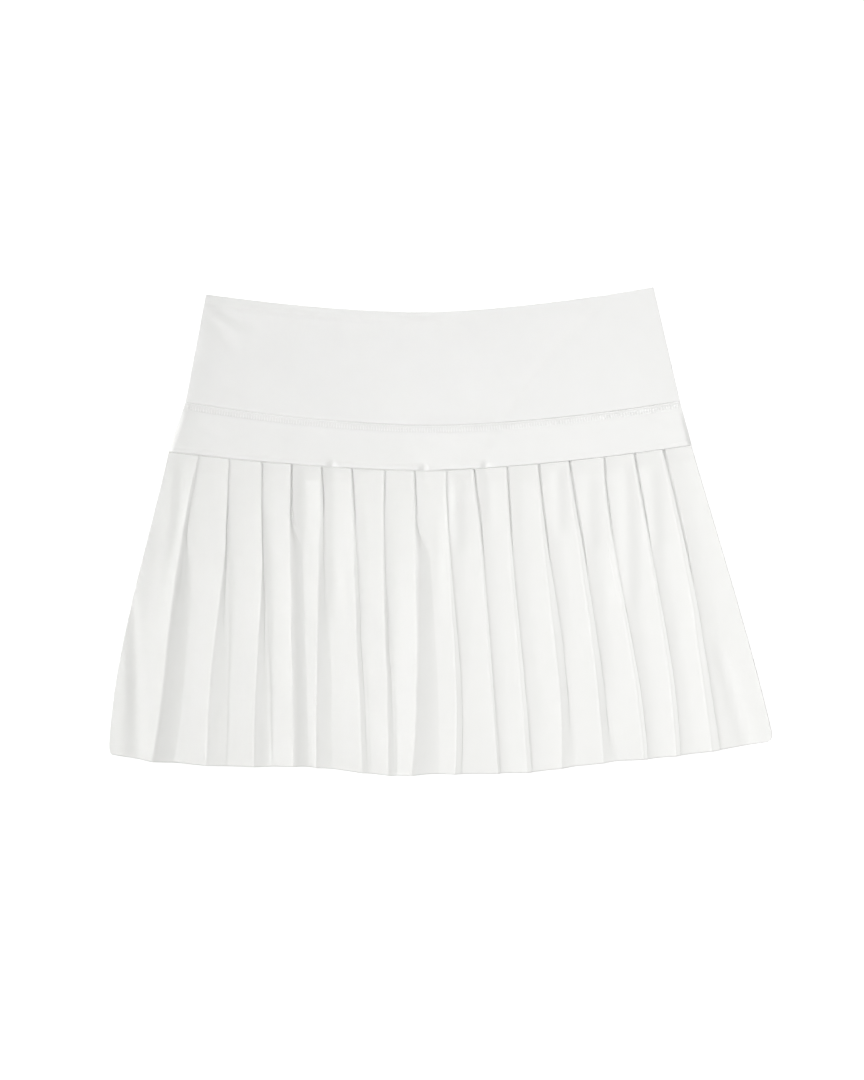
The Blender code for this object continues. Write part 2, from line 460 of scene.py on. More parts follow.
# %% Give a surface its thickness
def thicken(piece, wall, round_edge=0.0):
    """Turns an open surface into a closed wall of cloth, wall millimetres thick."""
    thick = piece.modifiers.new("wall", "SOLIDIFY")
    thick.thickness, thick.offset, thick.use_even_offset = wall * MM, 0.0, bool(round_edge)
    if round_edge:
        soft = piece.modifiers.new("edge", "BEVEL")
        soft.width, soft.segments = round_edge * MM, 3
        soft.limit_method, soft.angle_limit = "ANGLE", math.radians(60)
    bpy.context.view_layer.update()
    seen = piece.evaluated_get(bpy.context.evaluated_depsgraph_get())
    mesh = bpy.data.meshes.new_from_object(seen)
    piece.modifiers.clear()
    old, piece.data = piece.data, mesh
    bpy.data.meshes.remove(old)
    mesh.shade_smooth()
    triangles = sum(len(face.vertices) - 2 for face in mesh.polygons)
    print(f"{piece.name}: {triangles} triangles")
    return piece


# %% Make a band
def band(name, upper, lower, heights, cloth, columns, rows, relief=None):
    """A band of knit between two seam levels, with its own relief on it."""
    values = {"Columns": columns, "Rows": rows, "Cloth": cloth, "Side Slope": SIDE_SLOPE}
    ends = (("Upper", upper, heights[0], -1), ("Lower", lower, heights[1], 1))
    for edge, level, height, inside in ends:
        for word, value in zip(("Centre", "Rise", "Power", "Half", "Lean", "Middle"), LEVELS[level]):
            values[f"{edge} {word}"] = value
        values[f"{edge} Centre"] += inside * SEAM_GAP / 2
        values[f"{edge} Height"] = height
    piece = run_tree(band_tree, name, bpy.data.meshes.new(name), values)
    if relief:
        points = mesh_points(piece.data)
        points[:, 2] += relief(points[:, 0] / MM, points[:, 1] / MM) * MM
        place_points(piece.data, points)
    return piece


# %% [markdown]
# ## The waistband
#
# The waistband is doubled over, with a narrow elastic in its upper fold.  The
# elastic draws in the knit below it, which shows as a soft line 7 mm under the top
# edge, plain at the left and gone at the right.  The corner at the left side seam
# has a few slanting creases where the fold turns, the seam itself stands up a little,
# and the knit is drawn in above the seam to the yoke.

# %% Waistband, front and back
KNIT = 1.8                    # the doubled knit, a little thinner than its solid
ELASTIC = 7.0                 # how far under the edge the elastic's line runs
LEFT_RISE = 1.1               # how high the knit stands at the seam in its left side
LEFT_REACH = 12.0             # and how far in from there it has fallen away

BAND_CREASES = [
    # x1      y1     x2      y2    width  height
    (-174.2, 182.0, -139.2, 163.0, 4.5, -0.8),
    (-175.2, 176.0, -151.2, 158.0, 4, 0.6),
    (-173.2, 168.0, -156.2, 146.0, 5, -0.6),
    (-169.2, 187.0, -121.2, 176.0, 3.5, 0.5),
    (-187.2, 118.0, -151.2, 104.0, 6, 0.5),
    (-181.2, 128.0, -131.2, 108.0, 9, -0.4),
    (-91.2, 130.0, -61.2, 96.0, 12, -0.22),
    (-61.2, 150.0, -26.2, 140.0, 10, 0.2),
    (18.8, 120.0, 58.8, 92.0, 14, 0.2),
    (108.8, 170.0, 148.8, 158.0, 9, 0.25),
    (148.8, 115.0, 183.8, 108.0, 7, 0.3),
    (163.8, 108.0, 188.8, 101.0, 3, -0.3),
]


def left_rise(x, y, upper, lower):
    """The seam in the left side holds the knit up, and it falls away from there."""
    t = (level_y(upper, x) - y) / (level_y(upper, x) - level_y(lower, x))
    inset = x - between(level_x(upper, -1), level_x(lower, -1), t)
    return LEFT_RISE * bell(inset, LEFT_REACH)


def waistband_relief(x, y):
    below_edge = level_y("waist", x) - y
    above_seam = y - level_y("stitch", x)
    pulled = 0.9 * ease((60 - x) / 130)                             # none right of x 60
    elastic = -pulled * bell(below_edge - ELASTIC, 1.7)
    roll = 0.3 * pulled * bell(below_edge - ELASTIC / 2, 2.4)
    at_left = 0.5 * ease((x + 160) / 25) * ease((-60 - x) / 25)     # from x -160 to -60
    at_right = 0.2 * ease((x - 165) / 20)                           # from x 165
    drawn = -(at_left + at_right) * bell(above_seam, 1.8)
    return (
        elastic + roll + drawn + crease_relief(x, y, BAND_CREASES) + left_rise(x, y, "waist", "stitch")
        + waves(x, y, 45.0, 0.25, 1.0) + waves(x, y, 14.0, 0.06, 2.0)
    )


def back_relief(x, y):
    """The back lies pressed on the table, so it is only ever raised a little."""
    return 0.12 + waves(x, y, 40.0, 0.1, 5.0)


band_middle = 1.5 * BAND_WALL + SEAM_GAP
waistband_front = band(
    "waistband_front_cloth", "waist", "stitch", (band_middle, band_middle),
    band_knit, 260, 60, waistband_relief,
)
waistband_back = band(
    "waistband_back_cloth", "waist", "stitch", (BAND_WALL / 2, BAND_WALL / 2),
    band_knit, 120, 24, back_relief,
)
for piece in (waistband_front, waistband_back):
    thicken(piece, KNIT, 0.35)


# %% [markdown]
# ## The yoke
#
# The yoke is one layer of the same knit.  Its seam to the waistband is pressed down
# and covered by stitches, so its upper edge is a narrow ridge.  It climbs from there
# onto the tops of the pleats, and its lower edge is sewn to them: that seam turns
# the knit under in a lip, and puckers it into small dimples.  The side seam at the
# left holds it up, as it does the waistband.

# %% Yoke, front and back
YOKE_KNIT = 1.5                # one layer of knit
RIDGE = 1.6                    # width of the ridge under the waistband
LADDER = 4.4                   # how far the cover stitches reach below the ridge
LIP = 3.6                      # how far above its lower seam the turned edge shows
YOKE_LIFT = 1.4                # the left side seam lifts the yoke this much more
DIMPLE_REACH = 4.5             # how far a dimple reaches from the seam

DIMPLES = [
    # x      width  depth
    (-159.2, 3.0, 0.2),
    (-82.2, 3.2, 2.4),
    (-37.2, 4.0, 0.25),
    (-10.2, 3.2, 2.4),
    (38.6, 3.0, 2.0),
    (90.8, 3.5, 0.3),
    (139.8, 3.0, 0.4),
    (174.8, 4.0, 0.5),
]

YOKE_CREASES = [
    # x1      y1     x2      y2    width  height
    (-191.2, 92.0, -166.2, 76.0, 5, -0.3),
    (-151.2, 84.0, -111.2, 70.0, 8, 0.2),
    (-83.2, 62.0, -61.2, 76.0, 7, -0.2),
    (-11.2, 60.0, -3.2, 74.0, 6, -0.22),
    (38.8, 60.0, 48.8, 74.0, 5, -0.2),
    (118.8, 66.0, 158.8, 80.0, 9, 0.2),
    (166.8, 92.0, 184.8, 84.0, 4, -0.35),
    (174.8, 80.0, 196.8, 72.0, 5, 0.25),
]


def dents(x, away):
    """How deep the seam's pucker is, at places x and this far away from the seam."""
    deep = sum(depth * bell(x - place, width) for place, width, depth in DIMPLES)
    return -deep * bell(away, DIMPLE_REACH)


def yoke_relief(x, y):
    below = level_y("stitch", x) - y
    above = y - level_y("yoke", x)
    ridge = 0.3 * bell(below - RIDGE / 2, 0.45 * RIDGE)
    sunk = -0.6 * ease((below - RIDGE) / 0.8) * ease((RIDGE + LADDER + 0.6 - below) / 1.2)
    lip = -0.35 * bell(above - LIP, 1.1) * (0.6 + waves(x, 0 * x, 30.0, 0.8, 7.0))
    return (
        ridge + sunk + lip + dents(x, above) + crease_relief(x, y, YOKE_CREASES)
        + YOKE_LIFT * left_rise(x, y, "stitch", "yoke")
        + waves(x, y, 38.0, 0.22, 3.0) + waves(x, y, 9.0, 0.07, 4.0)
    )


raised = (BAND_WALL - YOKE_KNIT) / 2
yoke_front = band(
    "yoke_front_cloth", "stitch", "yoke",
    (band_middle + raised, YOKE_TOP - BAND_WALL / 2 + raised), yoke_knit, 420, 56, yoke_relief,
)
yoke_back = band(
    "yoke_back_cloth", "stitch", "yoke", (BAND_WALL / 2, BAND_WALL / 2),
    yoke_knit, 120, 16, back_relief,
)
for piece in (yoke_front, yoke_back):
    thicken(piece, YOKE_KNIT, 0.25)


# %% [markdown]
# ## The pleats
#
# A knife pleat folds the cloth back under itself and forward again.  From left to
# right the cloth climbs out from under the last pleat, reaches its pressed crest,
# rolls over to the folded edge, turns under, runs back, and turns again at the tuck.
# Every pleat hangs its own way, so each has a row of its own in a table, in
# millimetres.  Most folded edges stand proud of the cloth beside them and shade it.
# Some open towards the hem: there is no fold left, and the cloth runs down from the
# crest in a dark slope.  At the yoke some of them gape, and the cloth in that gap
# lies deep in shade.

# %% The table of pleats
Pleat = namedtuple("Pleat", "edges rolls rise fall spread opened gap short")
PLEATS = [Pleat(*row) for row in (
    # edges: where the folded edge lies, at the yoke, a third and two thirds down, and
    # at the hem; rolls: how wide the cloth rolls over before it, at the last three;
    # rise: how high the crest stands; fall: how far an open pleat drops from it;
    # spread: how far that slope runs on past the edge; opened: how far the fold has
    # opened, at the same three; gap: how wide it gapes at the yoke; short: of the hem
    ((-186.3, -199.3, -207.8, -218.5), (4.0, 7.0, 9.0), 4.0, 3.8, 8.0, (0.9, 1.0, 1.0), 0.0, 0.2),
    ((-162.4, -167.4, -171.8, -175.9), (0.8, 7.0, 9.0), 3.0, 1.4, 6.0, (0.7, 0.95, 1.0), 0.2, 1.8),
    ((-137.3, -136.9, -136.5, -137.0), (1.0, 6.0, 9.5), 3.2, 1.3, 3.5, (0.6, 0.85, 1.0), 0.4, 4.0),
    ((-114.0, -114.6, -113.8, -113.5), (0.8, 1.6, 2.5), 3.6, 3.4, 8.5, (1.2, 1.0, 1.0), 1.3, 5.5),
    ((-90.3, -89.5, -88.9, -89.3), (4.0, 7.0, 8.0), 1.2, 2.0, 4.0, (0.8, 1.0, 1.0), 1.0, 3.8),
    ((-66.9, -63.2, -60.0, -58.0), (2.5, 4.0, 4.5), 1.4, 0.8, 2.0, (0.3, 0.8, 0.9), 1.1, 0.7),
    ((-40.8, -41.0, -38.7, -38.4), (1.5, 3.0, 3.5), 1.8, 1.1, 2.0, (0.2, 0.85, 0.95), 0.7, -1.1),
    ((-17.6, -14.6, -11.6, -11.0), (3.0, 7.0, 12.0), 3.0, 3.2, 9.0, (1.2, 1.0, 1.0), 0.8, -0.3),
    ((7.4, 10.6, 16.6, 16.4), (1.2, 4.0, 6.0), 1.2, 0.8, 1.5, (0.0, 0.5, 0.8), 0.0, -1.0),
    ((29.0, 35.8, 41.6, 46.2), (1.2, 1.6, 1.6), 1.2, 0.6, 0.0, (0.0, 0.1, 0.4), 1.7, -1.6),
    ((55.0, 59.8, 66.0, 70.8), (2.0, 3.0, 3.0), 1.2, 0.6, 0.0, (0.0, 0.1, 0.4), 1.6, -2.1),
    ((79.8, 88.6, 99.6, 102.7), (4.0, 7.0, 9.0), 1.4, 1.3, 2.0, (0.0, 0.6, 1.0), 1.8, 0.0),
    ((103.7, 115.4, 127.0, 136.0), (3.0, 5.0, 9.0), 1.6, 1.4, 2.0, (0.0, 0.3, 1.0), 2.2, 1.2),
    ((131.4, 140.2, 153.3, 161.8), (1.2, 3.0, 3.5), 1.4, 0.5, 0.0, (0.0, 0.0, 0.1), 1.5, 0.0),
    ((155.2, 168.2, 181.6, 188.2), (1.2, 3.0, 3.0), 1.4, 0.5, 0.0, (0.0, 0.0, 0.3), 1.8, -0.7),
    ((177.6, 195.0, 209.0, 219.0), (3.0, 5.0, 7.0), 1.6, 1.0, 0.0, (0.0, 0.1, 0.3), 2.5, -1.1),
)]
YOKE_TUCK, HEM_TUCK = 6.2, 3.0     # how deep a pleat is tucked in under the last one
LEAST_ROLL = 0.5                   # the narrowest roll, as at the yoke
FIRST_LEAD = -0.4                  # the first face climbs from this far down, at the left side
LAST_CROWN = 1.3                   # the last panel lies this much higher at its side
SCALLOP = 0.25                     # how much further down each millimetre of height hangs
CORNERS = {-1: 3.0, 1: 5.0}        # the hem's corners are rounded, the right one more,
CORNER_START = 0.965               # from this share of the way down


def along(places, v):
    """The smooth line through places at the yoke, at both thirds and at the hem."""
    yoke, upper, lower, hem = places
    inner = 9 * v * (1 - v) / 2 * (upper * (2 - 3 * v) - lower * (1 - 3 * v))
    return inner + (1 - 3 * v) * (2 - 3 * v) / 2 * (yoke * (1 - v) + hem * v)


def side_x(side, v):
    """Where the pleats' left (-1) or right (1) side seam lies, v of the way down."""
    seam = along((level_x("yoke", side), *SIDES[side], level_x("hem", side)), v)
    into_corner = max(v - CORNER_START, 0.0) / (1 - CORNER_START)
    return seam - side * CORNERS[side] * (1 - math.sqrt(1 - min(into_corner, 0.999) ** 2))


def hem_y(x):
    """The hem's level, and how far the pleats there hang short of it."""
    return level_y("hem", x) + np.interp(x, [p.edges[3] for p in PLEATS], [p.short for p in PLEATS])


def fold(x, z, radius, start, end, steps=6):
    """Cloth that turns about (x, z), between two angles in degrees."""
    turns = [math.radians(between(start, end, i / steps)) for i in range(steps + 1)]
    return [(x + radius * math.cos(turn), z + radius * math.sin(turn)) for turn in turns]


def stray(index, v, kind):
    """A pressed edge is never quite a drawn curve: it strays a little, differently for each."""
    slow = noise.noise(Vector((2.5 * v, 3.1 * index, kind)))            # two or three bends
    quick = noise.noise(Vector((8.0 * v, 5.3 * index, kind + 9.5)))     # and eight small ones
    return (0.9 * slow + 0.35 * quick) * float(ease(v / 0.15))


# %% [markdown]
# The front is made from its sections.  A section is a list of points across the
# skirt, and every section has the same number of them, so joining point to point
# down the skirt gives a clean grid of faces that follows every fold.  The points
# lie closer where the cloth bends: at the foot of a face, at its crest and round
# its folds.  At the yoke the layers are pressed together under the seam.

# %% The front's section
FACE_STEPS, ROLL_STEPS = 14, 4     # how many steps a face and a roll are drawn in
PLEAT_CLOTH = 0.3                  # the real cloth, thinner than its solid
LAYER_STEP = 0.45                  # from one layer of a fold to the next
PRESSED_STEP = 0.36                # the same, where they are pressed together
BASE, SEAM_BASE = 0.45, 2.3        # the lowest layer, above the solid's own, and under the yoke
SEAM_REACH = 0.06                  # how far down the yoke's seam is felt
CREST_BEAD, BEAD_WIDTH = 0.22, 1.3 # a pressed edge stands up in a fine bead
FOOT, HOLLOW = 0.42, 0.2           # a face sinks over this share of its width, this deep
MOST_LEAD = 0.9                    # the highest that a face comes out from under an edge
DROP = 0.8                         # from a folded edge to the face beside it
EARLY_LIFT = 1.8                   # the crests are at full height well above the hem
ROLL_CLIMB = 0.05                  # a proud roll climbs this much in each millimetre
OPEN_BEND = 1.4                    # an open slope is steepest at its start, by this power
ROLL_BEND = 1.25                   # a face and a roll are steepest at their ends, by this power
LEAST_TUCK = 1.2                   # how deep an open pleat is still tucked in
PAST_EDGE = 0.3                    # the next face starts this far past a folded edge
GAP_SHARE = 0.9                    # and this share of the gap further on
SINK = 0.8                         # an open pleat may run this far below the lowest layer
GAP_LENGTH = 0.2                   # a gap runs this share of the way down for each millimetre
GAP_DEPTH = 1.2                    # of a gap, for each millimetre of its width
SIDE_ROUND = 0.5                   # the side seams roll over in this width
SIDE_TURNS = (0, 18, 36, 54, 72)


def side_round(seam, inwards, seam_height, top):
    """The cloth's turn from the side seam up to the top of the skirt."""
    turns = [math.radians(turn) for turn in SIDE_TURNS]
    return [
        (seam + inwards * SIDE_ROUND * (1 - math.cos(turn)), between(seam_height, top, math.sin(turn)))
        for turn in turns
    ]


def face(start, crest, base, lead, height, crisp, foot=FOOT):
    """A pleat's face: it sinks into a valley beside the last edge, then climbs to its crest."""
    points = []
    bottom = between(-HOLLOW * crisp, lead, (FOOT - foot) / FOOT)
    for i in range(FACE_STEPS + 1):
        t = (1 - math.cos(math.pi * i / FACE_STEPS)) / 2
        sunk = between(lead, bottom, math.sin(math.pi / 2 * min(t / foot, 1.0)))
        climbed = (height - base - bottom) * (max(t - foot, 0.0) / (1 - foot)) ** ROLL_BEND
        bead = CREST_BEAD * max(1 - (1 - t) * (crest - start) / BEAD_WIDTH, 0.0) ** 1.5
        points.append((between(start, crest, t), base + sunk + climbed + bead))
    return points


def turned_under(crest, edge, height, edge_height, step, tuck, low, open_gap):
    """A pleat's roll and its fold, from its crest to where the next face starts."""
    radius, roll = step / 2, edge - step / 2 - crest
    bead = min(0.6 * BEAD_WIDTH, 0.4 * roll)
    points = []
    for i in range(ROLL_STEPS):
        share = between(bead / roll, 1.0, i / ROLL_STEPS)
        points.append((crest + roll * share, between(height, edge_height, share ** ROLL_BEND)))
    lean = math.degrees(math.atan2(ROLL_BEND * (height - edge_height), roll))
    points += fold(edge - radius, edge_height - radius, radius, 90 - lean, -90)
    points += fold(edge - tuck + radius, low + radius, radius, 90, 270)
    return points + [(edge - 0.4, low), (edge + 0.1 + 0.3 * open_gap, low)]


def front_section(v):
    """The front's points (x, z) from left to right, v of the way down."""
    left, right = side_x(-1, v), side_x(1, v)
    pressed = 1 - float(ease(v / SEAM_REACH))
    base = between(BASE, SEAM_BASE, pressed)
    full_step, full_tuck = between(LAYER_STEP, PRESSED_STEP, pressed), between(YOKE_TUCK, HEM_TUCK, v)
    crisp = float(ease(v / 0.35))
    side_seam = LAYER - FRONT_REST
    lead, foot = FIRST_LEAD * crisp, FOOT
    points = side_round(left, 1, side_seam, base + lead)
    start = left + SIDE_ROUND
    for index, pleat in enumerate(PLEATS):
        opened = np.interp(v, (0, 1 / 3, 2 / 3, 1), (0.0, *pleat.opened))
        settled, parted = min(2 * opened, 1.0), np.clip(2 * opened - 1, 0.0, 1.0)
        step = between(full_step, PRESSED_STEP, settled)
        tuck = between(full_tuck, LEAST_TUCK, settled)
        edge = along(pleat.edges, v) + stray(index, v, 0.5)
        roll = max(along((LEAST_ROLL, *pleat.rolls), v) + stray(index, v, 3.5), LEAST_ROLL)
        crest = edge - step / 2 - roll
        height = base + between(2 * step, max(pleat.rise, 2 * step), float(ease(v * EARLY_LIFT)))
        points += face(start, crest, base, lead, height, crisp, foot)
        open_gap = pleat.gap * float(ease(2 - 2 * v / (GAP_LENGTH * max(pleat.gap, 0.1))))
        start = edge + PAST_EDGE + GAP_SHARE * open_gap + pleat.spread * float(ease(parted))
        end = max(height - pleat.fall, base + between(2 * step, -SINK, parted))    # of an open slope
        edge_height = between(max(height + ROLL_CLIMB * roll, base + 2 * step), end, settled)
        proud_lead = min(max(edge_height - base - DROP, 0.0), MOST_LEAD) * crisp
        lead = between(proud_lead, end - base - 2 * step, settled)
        low = max(base + lead - GAP_DEPTH * open_gap, -GAP_DEPTH)
        closed = turned_under(crest, edge, height, edge_height, step, tuck, low, open_gap)
        for i, (x, z) in enumerate(closed):
            share = between(min(0.6 * BEAD_WIDTH / roll, 0.4), 1.0, i / len(closed))
            slope = (between(crest, start, share), between(height, end, 1 - (1 - share) ** OPEN_BEND))
            points.append((between(x, slope[0], parted), between(z, slope[1], parted)))
        lead = between(lead, end - base, parted)
        foot = FOOT * between(1.0, np.clip(end - base, 0.1, 1.0), settled) * (1 - 0.9 * parted)
    points += face(start, right - SIDE_ROUND, base, lead, base + LAST_CROWN, crisp)
    points += reversed(side_round(right, -1, side_seam, base + LAST_CROWN))
    return points


# %% [markdown]
# The back has the same pleats, but it lies face down with the front's weight on it,
# so each pleat is pressed flat: its face on the table, and its folds stacked above.

# %% The back's section
BACK_CLIMB = 8.0                   # a face of the back has reached the table this far on


def back_section(v):
    """The back's points: the same pleats, which fold the other way across X."""
    tuck = between(YOKE_TUCK, HEM_TUCK, v)
    radius = LAYER_STEP / 2
    points = [(-side_x(1, v), 0.0)]
    for index, pleat in enumerate(PLEATS):
        edge = along(pleat.edges, v) + stray(index, v, 20.5)
        turned = fold(edge - radius, -radius, radius, 90, -90, 4)
        turned += fold(edge - tuck + radius, -3 * radius, radius, 90, 270, 4)
        points += [(x, -z) for x, z in turned]
        for share in (0.0, 0.3, 0.7, 1.0):
            climb = 2 * LAYER_STEP * (1 - float(ease(share)))
            points.append((edge + 0.6 + BACK_CLIMB * share, climb))
    points.append((-side_x(-1, v), 0.0))
    return [(-x, z) for x, z in reversed(points)]


# %% [markdown]
# Joining the sections also gives the cloth its own coordinates: across it, the
# length of cloth from the left seam, folds and all, and down it, the distance from
# the yoke.  The weave drawn in those coordinates runs true through every fold.

# %% Join the sections into cloth
def pleated(name, section, stations, rest, relief=None):
    """A pleated panel through its sections, its lowest cloth rest above the table."""
    form = np.array([section(float(v)) for v in stations])          # row, column, (x, z)
    x, z = form[:, :, 0], form[:, :, 1]
    top = level_y("yoke", x[0]) - SEAM_GAP / 2
    bottom = hem_y(x[-1]) - SCALLOP * z[-1]
    y = top + (bottom - top) * stations[:, None]
    height = rest + z
    if relief:
        height = height + relief(x.ravel(), y.ravel()).reshape(x.shape)
    half_way = form[len(stations) // 2]
    across = np.concatenate([[0.0], np.cumsum(np.hypot(*np.diff(half_way, axis=0).T))])
    down = stations * (top - bottom).mean()
    columns = x.shape[1]
    corner = np.arange((len(stations) - 1) * columns).reshape(-1, columns)[:, :-1].ravel()
    faces = np.stack([corner, corner + columns, corner + columns + 1, corner + 1], axis=1)
    mesh = bpy.data.meshes.new(name)
    mesh.from_pydata((np.stack([x, y, height], axis=2).reshape(-1, 3) * MM).tolist(), [], faces.tolist())
    cloth_map = mesh.uv_layers.new(name="cloth")
    places = np.stack(np.broadcast_arrays(across[None, :], down[:, None]), axis=2).reshape(-1, 2) * MM
    cloth_map.data.foreach_set("uv", places[faces.ravel()].astype(np.float32).ravel())
    mesh.materials.append(pleat_cloth)
    piece = bpy.data.objects.new(name, mesh)
    scene.collection.objects.link(piece)
    print(f"{name}: {across[-1]:.0f} mm of cloth across, {down[-1]:.0f} mm down")
    return piece


# %% Pleats, front and back
# How far down each section lies: they are closest at the yoke's seam and at the hem.
FRONT_ROWS = np.concatenate([
    (0, 0.002, 0.0035, 0.005, 0.007), np.linspace(0.01, 0.07, 7),
    np.linspace(0.09, 0.95, 46), np.linspace(0.96, 1, 8),
])
BACK_ROWS = np.linspace(0, 1, 20)
SEWN_IN = 12.0                     # how far down the yoke's seam holds the cloth flat

FRONT_CREASES = [
    # x1      y1     x2      y2    width  height
    (-199.7, 55.9, -205.7, -19.3, 4.5, -1.2),
    (-205.5, 8.0, -220.0, -64.0, 3.5, -0.9),
    (-206.0, 56.0, -218.9, -56.8, 6, 0.7),
    (-246.3, -103.5, -250.6, -171.7, 5, 1.2),
    (-241.5, -50.0, -236.8, -176.0, 4.0, -1.8),
    (-136.5, -146.0, -136.5, -190.0, 5, -0.5),
    (-95.0, 52.0, -97.0, -20.0, 8, -1.1),
    (-76.0, 50.0, -71.5, -24.0, 6, -1.1),
    (-103.5, 54.0, -104.5, 0.0, 6.5, -2.0),
    (-82.0, 54.0, -81.0, -62.0, 6.0, -1.7),
    (0.5, 25.9, 0.2, -60.0, 5, -0.6),
    (16.1, 49.2, 15.0, -12.0, 5.5, 1.4),
    (41.3, 53.5, 42.1, 8.0, 4.5, -0.8),
    (94.5, 52.6, 96.0, -0.8, 5, 1.4),
    (118.8, 43.6, 121.0, -11.4, 6, 1.2),
    (148.0, 51.7, 150.9, -59.0, 6, 1.6),
    (168.6, 49.8, 171.5, -12.2, 6, 1.5),
    (130.6, -3.7, 132.8, -58.7, 5, -0.4),
    (220.0, -95.0, 243.0, -178.0, 4.5, -1.4),
    (-129.5, 28.1, -131.9, -19.0, 4, -0.25),
    (-58.5, 50.5, -56.0, 11.2, 4, -0.3),
    (-173.0, 55.5, -175.6, -6.5, 5, -0.25),
    (65.4, 40.6, 67.9, 1.3, 5, -0.25),
]


def front_relief(x, y):
    below = level_y("yoke", x) - y
    turned = 0.22 * bell(below - 1.0, 0.45)         # a fine roll where the cloth goes under
    return turned + 0.5 * dents(x, below) + ease(below / SEWN_IN) * (
        crease_relief(x, y, FRONT_CREASES)
        + waves(x, y / 3.0, 11.0, 0.22, 11.0) + waves(x, y / 2.0, 30.0, 0.25, 12.0)
    )


pleats_back = pleated("pleats_back_cloth", back_section, BACK_ROWS, PLEAT_CLOTH / 2 + 0.05)
pleats_front = pleated(
    "pleats_front_cloth", front_section, FRONT_ROWS, FRONT_REST + PLEAT_WALL / 2, front_relief,
)
for piece in (pleats_back, pleats_front):
    thicken(piece, PLEAT_CLOTH)


# %% [markdown]
# ## Stitches
#
# The seam under the waistband is a cover stitch: a ladder of short threads that lie
# across it, close and a little uneven, and a row of needle stitches along its upper
# edge.  One Geometry Nodes tree makes both.  It walks along a path, and sets an
# arched thread at each step, turned across or along the path, with a little chance
# in its slant and length.

# %% The tree that sews along a path
STITCH_INPUTS = {
    "Spacing": "NodeSocketFloat", "Length": "NodeSocketFloat", "Thickness": "NodeSocketFloat",
    "Arch": "NodeSocketFloat", "Turn": "NodeSocketFloat", "Slant": "NodeSocketFloat",
    "Seed": "NodeSocketInt", "Thread": "NodeSocketMaterial",
}
stitch_tree, given = new_tree("stitches along a path", STITCH_INPUTS)
path = given["Geometry"].node("GeometryNodeMeshToCurve", None, {0: given["Geometry"]})
steps = path.node(
    "GeometryNodeCurveToPoints", {"mode": "LENGTH"}, {"Curve": path, "Length": given["Spacing"]},
)
end_x = given["Length"] * 0.5
low = given["Arch"] * -0.6
bow = path.node("GeometryNodeCurveQuadraticBezier", None, {
    "Resolution": 6,
    "Start": path.node("ShaderNodeCombineXYZ", None, {"X": end_x * -1.0, "Z": low}),
    "Middle": path.node("ShaderNodeCombineXYZ", None, {"Z": given["Arch"] * 2.2}),
    "End": path.node("ShaderNodeCombineXYZ", None, {"X": end_x, "Z": low}),
})
ring = path.node(
    "GeometryNodeCurvePrimitiveCircle", None, {"Resolution": 5, "Radius": given["Thickness"] * 0.5},
)
sewn = bow.node(
    "GeometryNodeCurveToMesh", None, {"Curve": bow, "Profile Curve": ring, "Fill Caps": True},
)


def chance(low_end, high_end, salt):
    """A random number for each stitch, the same on every run."""
    return path.node(
        "FunctionNodeRandomValue", {"data_type": "FLOAT"},
        {2: low_end, 3: high_end, "Seed": given["Seed"] + salt}, output=1,
    )


forward = path.node(
    "FunctionNodeAlignRotationToVector", {"axis": "X", "pivot_axis": "Z"},
    {"Vector": steps.also("Tangent")},
)
slant = given["Turn"] + given["Slant"] * chance(-1.0, 1.0, 1)
turned = path.node("ShaderNodeCombineXYZ", None, {"Z": slant})
swing = path.node("FunctionNodeEulerToRotation", None, {0: turned})
aimed = forward.node("FunctionNodeRotateRotation", {"rotation_space": "LOCAL"}, {0: forward, 1: swing})
reach = path.node("ShaderNodeCombineXYZ", None, {"X": chance(0.85, 1.1, 2), "Y": 1.0, "Z": 1.0})
placed = steps.node(
    "GeometryNodeInstanceOnPoints", None,
    {"Points": steps, "Instance": sewn, "Rotation": aimed, "Scale": reach},
)
end_tree(placed, given["Thread"])


# %% Sew the cover stitch
def seam_path(name, level, offset, height, inset=2.0, points=260):
    """A line that runs along a seam, offset millimetres below it."""
    xs = np.linspace(level_x(level, -1) + inset, level_x(level, 1) - inset, points)
    ys = level_y(level, xs) - offset
    zs = height(xs, ys)
    mesh = bpy.data.meshes.new(name)
    places = np.stack([xs, ys, zs], axis=1) * MM
    mesh.from_pydata(places.tolist(), [(i, i + 1) for i in range(points - 1)], [])
    return mesh


def yoke_surface(x, y):
    """The height of the yoke's upper side, without its waves."""
    top, bottom = level_y("stitch", x), level_y("yoke", x)
    t = (top - y) / (top - bottom)
    sides = [between(level_x("stitch", side), level_x("yoke", side), t) for side in (-1, 1)]
    inset = np.minimum(x - sides[0], sides[1] - x)
    low, high = band_middle + raised, YOKE_TOP - BAND_WALL / 2 + raised
    return low + (high - low) * ease(t) * ease(inset / SIDE_SLOPE) + YOKE_KNIT / 2 + yoke_relief(x, y)


ladder = run_tree(
    stitch_tree, "cover_stitch_ladder",
    seam_path("ladder_path", "stitch", RIDGE + LADDER / 2, yoke_surface),
    {
        "Spacing": 2.1 * MM, "Length": (LADDER + 0.6) * MM, "Thickness": 0.65 * MM, "Arch": 0.6 * MM,
        "Turn": TURN / 4, "Slant": 0.22, "Seed": 3, "Thread": thread,
    },
)
needle_row = run_tree(
    stitch_tree, "cover_stitch_needle_row",
    seam_path("needle_path", "stitch", RIDGE / 2, yoke_surface),
    {
        "Spacing": 2.5 * MM, "Length": 2.3 * MM, "Thickness": 0.5 * MM, "Arch": 0.2 * MM,
        "Turn": 0.0, "Slant": 0.05, "Seed": 8, "Thread": thread,
    },
)
for stitches in (ladder, needle_row):
    stitches.data.shade_smooth()
    print(stitches.name, len(stitches.data.polygons), "faces")
